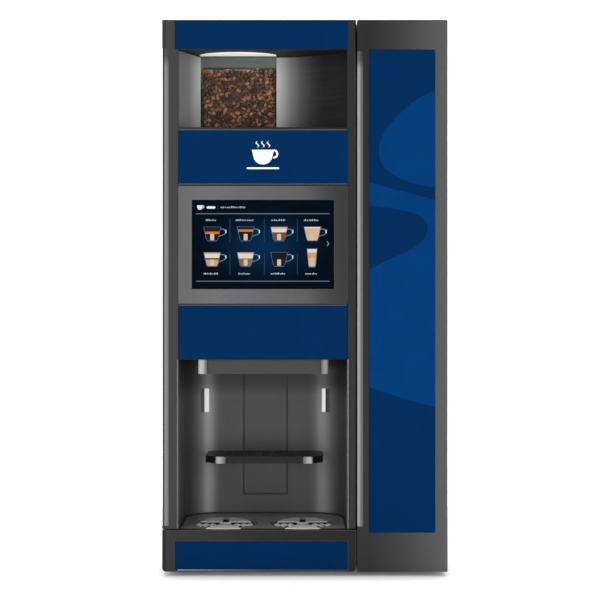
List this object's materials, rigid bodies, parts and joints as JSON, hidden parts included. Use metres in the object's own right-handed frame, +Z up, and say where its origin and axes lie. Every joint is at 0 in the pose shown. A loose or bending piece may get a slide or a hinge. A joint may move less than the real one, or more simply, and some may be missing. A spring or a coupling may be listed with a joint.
{
  "type": "hot coffee vending machine",
  "caption": "Tall table-top coffee vending machine with a touch screen, a bean window, a lit cup alcove, a drip drawer and a slim side module.",
  "frame": {"origin": "centre of the footprint, on the floor under the feet", "axes": "+Z up, the front with the screen faces -Y, +X is to the right seen from the front"},
  "size_m": [0.437, 0.56, 0.85],
  "materials": {
    "anthracite": "satin anthracite powder coat",
    "grey_trim": "satin grey",
    "alcove_grey": "satin dark grey moulding",
    "niche_grey": "satin grey moulding",
    "lamp_lens": "opal lens, lit white",
    "blue_panel": "navy satin panel",
    "screen_glass": "black cover glass",
    "chrome_trim": "polished",
    "steel": "brushed",
    "black_plastic": "matt black",
    "rubber": "matt",
    "sheet": "galvanised sheet",
    "clear": "clear moulded polycarbonate",
    "beans": "oily roasted coffee beans",
    "alloy": "cast",
    "brass": "machined",
    "ivory": "natural white plastic"
  },
  "bodies": {
    "cabinet": {"base_frame": "sheet", "foot_front_left": "rubber", "foot_front_right": "rubber", "foot_rear_left": "rubber", "foot_rear_right": "rubber", "left_panel": "anthracite", "right_panel": "anthracite", "rear_panel": "anthracite", "top_panel": "anthracite", "equipment_deck": "sheet", "bean_hopper": "clear", "bean_charge": "beans", "grinder_body": "alloy", "brewer_body": "black_plastic", "boiler": "steel", "pump": "brass", "canister_milk": "ivory", "canister_choc": "ivory", "mixer_bowl": "clear", "nozzle_bracket": "black_plastic", "grounds_bucket": "black_plastic", "power_inlet": "black_plastic", "side_shell": "anthracite", "water_tank": "ivory"},
    "main_door": {"door_frame": "anthracite", "niche_liner": "niche_grey", "niche_lamp": "lamp_lens", "header_panel": "blue_panel", "brand_panel": "blue_panel", "lower_panel": "blue_panel", "screen_bezel": "grey_trim", "touch_screen": "screen_glass", "alcove_liner": "alcove_grey", "alcove_lamp_left": "lamp_lens", "alcove_lamp_right": "lamp_lens", "nozzle_hood": "grey_trim", "hood_trim_left": "chrome_trim", "hood_trim_right": "chrome_trim"},
    "side_door_leaf": {"side_door": "anthracite", "side_insert": "blue_panel"},
    "cup_shelf_tray": {"cup_shelf": "black_plastic", "shelf_clip_left": "chrome_trim", "shelf_clip_right": "chrome_trim"},
    "drip_drawer": {"tray_fascia": "grey_trim", "plinth_strip": "blue_panel", "tray_basin": "black_plastic", "tray_deck": "black_plastic", "tray_grate_left": "steel", "tray_grate_right": "steel"},
    "lid": {"top_lid": "anthracite"},
    "door_key": {"door_lock": "chrome_trim"},
    "side_key": {"side_lock": "chrome_trim"},
    "shutter": {"hopper_shutter": "steel"},
    "burr": {"grinder_burr": "steel"},
    "gear": {"brew_gear": "ivory"},
    "piston": {"brew_piston": "steel"},
    "milk_auger": {"auger_milk": "steel"},
    "choc_auger": {"auger_choc": "steel"},
    "impeller": {"mixer_impeller": "steel"},
    "rocker": {"rocker_switch": "black_plastic"}
  },
  "joints": [
    {"name": "main_door_hinge", "type": "hinge", "parent": "cabinet", "child": "main_door", "pos_m": [-0.2125, -0.2165, 0.45], "axis": [0, 0, -1], "range_deg": [0, 100]},
    {"name": "side_door_hinge", "type": "hinge", "parent": "cabinet", "child": "side_door_leaf", "pos_m": [0.2125, -0.257, 0.45], "axis": [0, 0, 1], "range_deg": [0, 100]},
    {"name": "drip_drawer_slide", "type": "slide", "parent": "cabinet", "child": "drip_drawer", "axis": [0, -1, 0], "range_m": [0, 0.15]},
    {"name": "cup_shelf_hinge", "type": "hinge", "parent": "main_door", "child": "cup_shelf_tray", "pos_m": [-0.0645, -0.129, 0.1695], "axis": [-1, 0, 0], "range_deg": [0, 85]},
    {"name": "top_lid_hinge", "type": "hinge", "parent": "cabinet", "child": "lid", "pos_m": [-0.105, -0.058, 0.845], "axis": [-1, 0, 0], "range_deg": [0, 95]},
    {"name": "door_lock_turn", "type": "hinge", "parent": "main_door", "child": "door_key", "pos_m": [0.05, -0.244, 0.83], "axis": [0, 0, 1], "range_deg": [0, 90]},
    {"name": "side_lock_turn", "type": "hinge", "parent": "side_door_leaf", "child": "side_key", "pos_m": [0.11, -0.263, 0.83], "axis": [0, 0, 1], "range_deg": [0, 90]},
    {"name": "hopper_shutter_slide", "type": "slide", "parent": "cabinet", "child": "shutter", "axis": [0, -1, 0], "range_m": [0, 0.04]},
    {"name": "burr_spin", "type": "hinge", "parent": "cabinet", "child": "burr", "pos_m": [-0.105, -0.12, 0.56], "axis": [0, 0, 1], "continuous": true},
    {"name": "brew_gear_turn", "type": "hinge", "parent": "cabinet", "child": "gear", "pos_m": [-0.15, -0.048, 0.392], "axis": [1, 0, 0], "range_deg": [0, 180]},
    {"name": "brew_piston_slide", "type": "slide", "parent": "cabinet", "child": "piston", "axis": [0, 0, 1], "range_m": [0, 0.035]},
    {"name": "milk_auger_spin", "type": "hinge", "parent": "cabinet", "child": "milk_auger", "pos_m": [-0.003, -0.08, 0.574], "axis": [0, 1, 0], "continuous": true},
    {"name": "choc_auger_spin", "type": "hinge", "parent": "cabinet", "child": "choc_auger", "pos_m": [0.047, -0.08, 0.574], "axis": [0, 1, 0], "continuous": true},
    {"name": "impeller_spin", "type": "hinge", "parent": "cabinet", "child": "impeller", "pos_m": [0.022, -0.172, 0.45], "axis": [0, 0, 1], "continuous": true},
    {"name": "rocker_tilt", "type": "hinge", "parent": "cabinet", "child": "rocker", "pos_m": [0.035, 0.271, 0.135], "axis": [1, 0, 0], "range_deg": [-8, 8]}
  ],
  "couplings": [
    {"joint": "brew_gear_turn", "follows": "brew_piston_slide", "rad_per_m": 89.7}
  ]
}
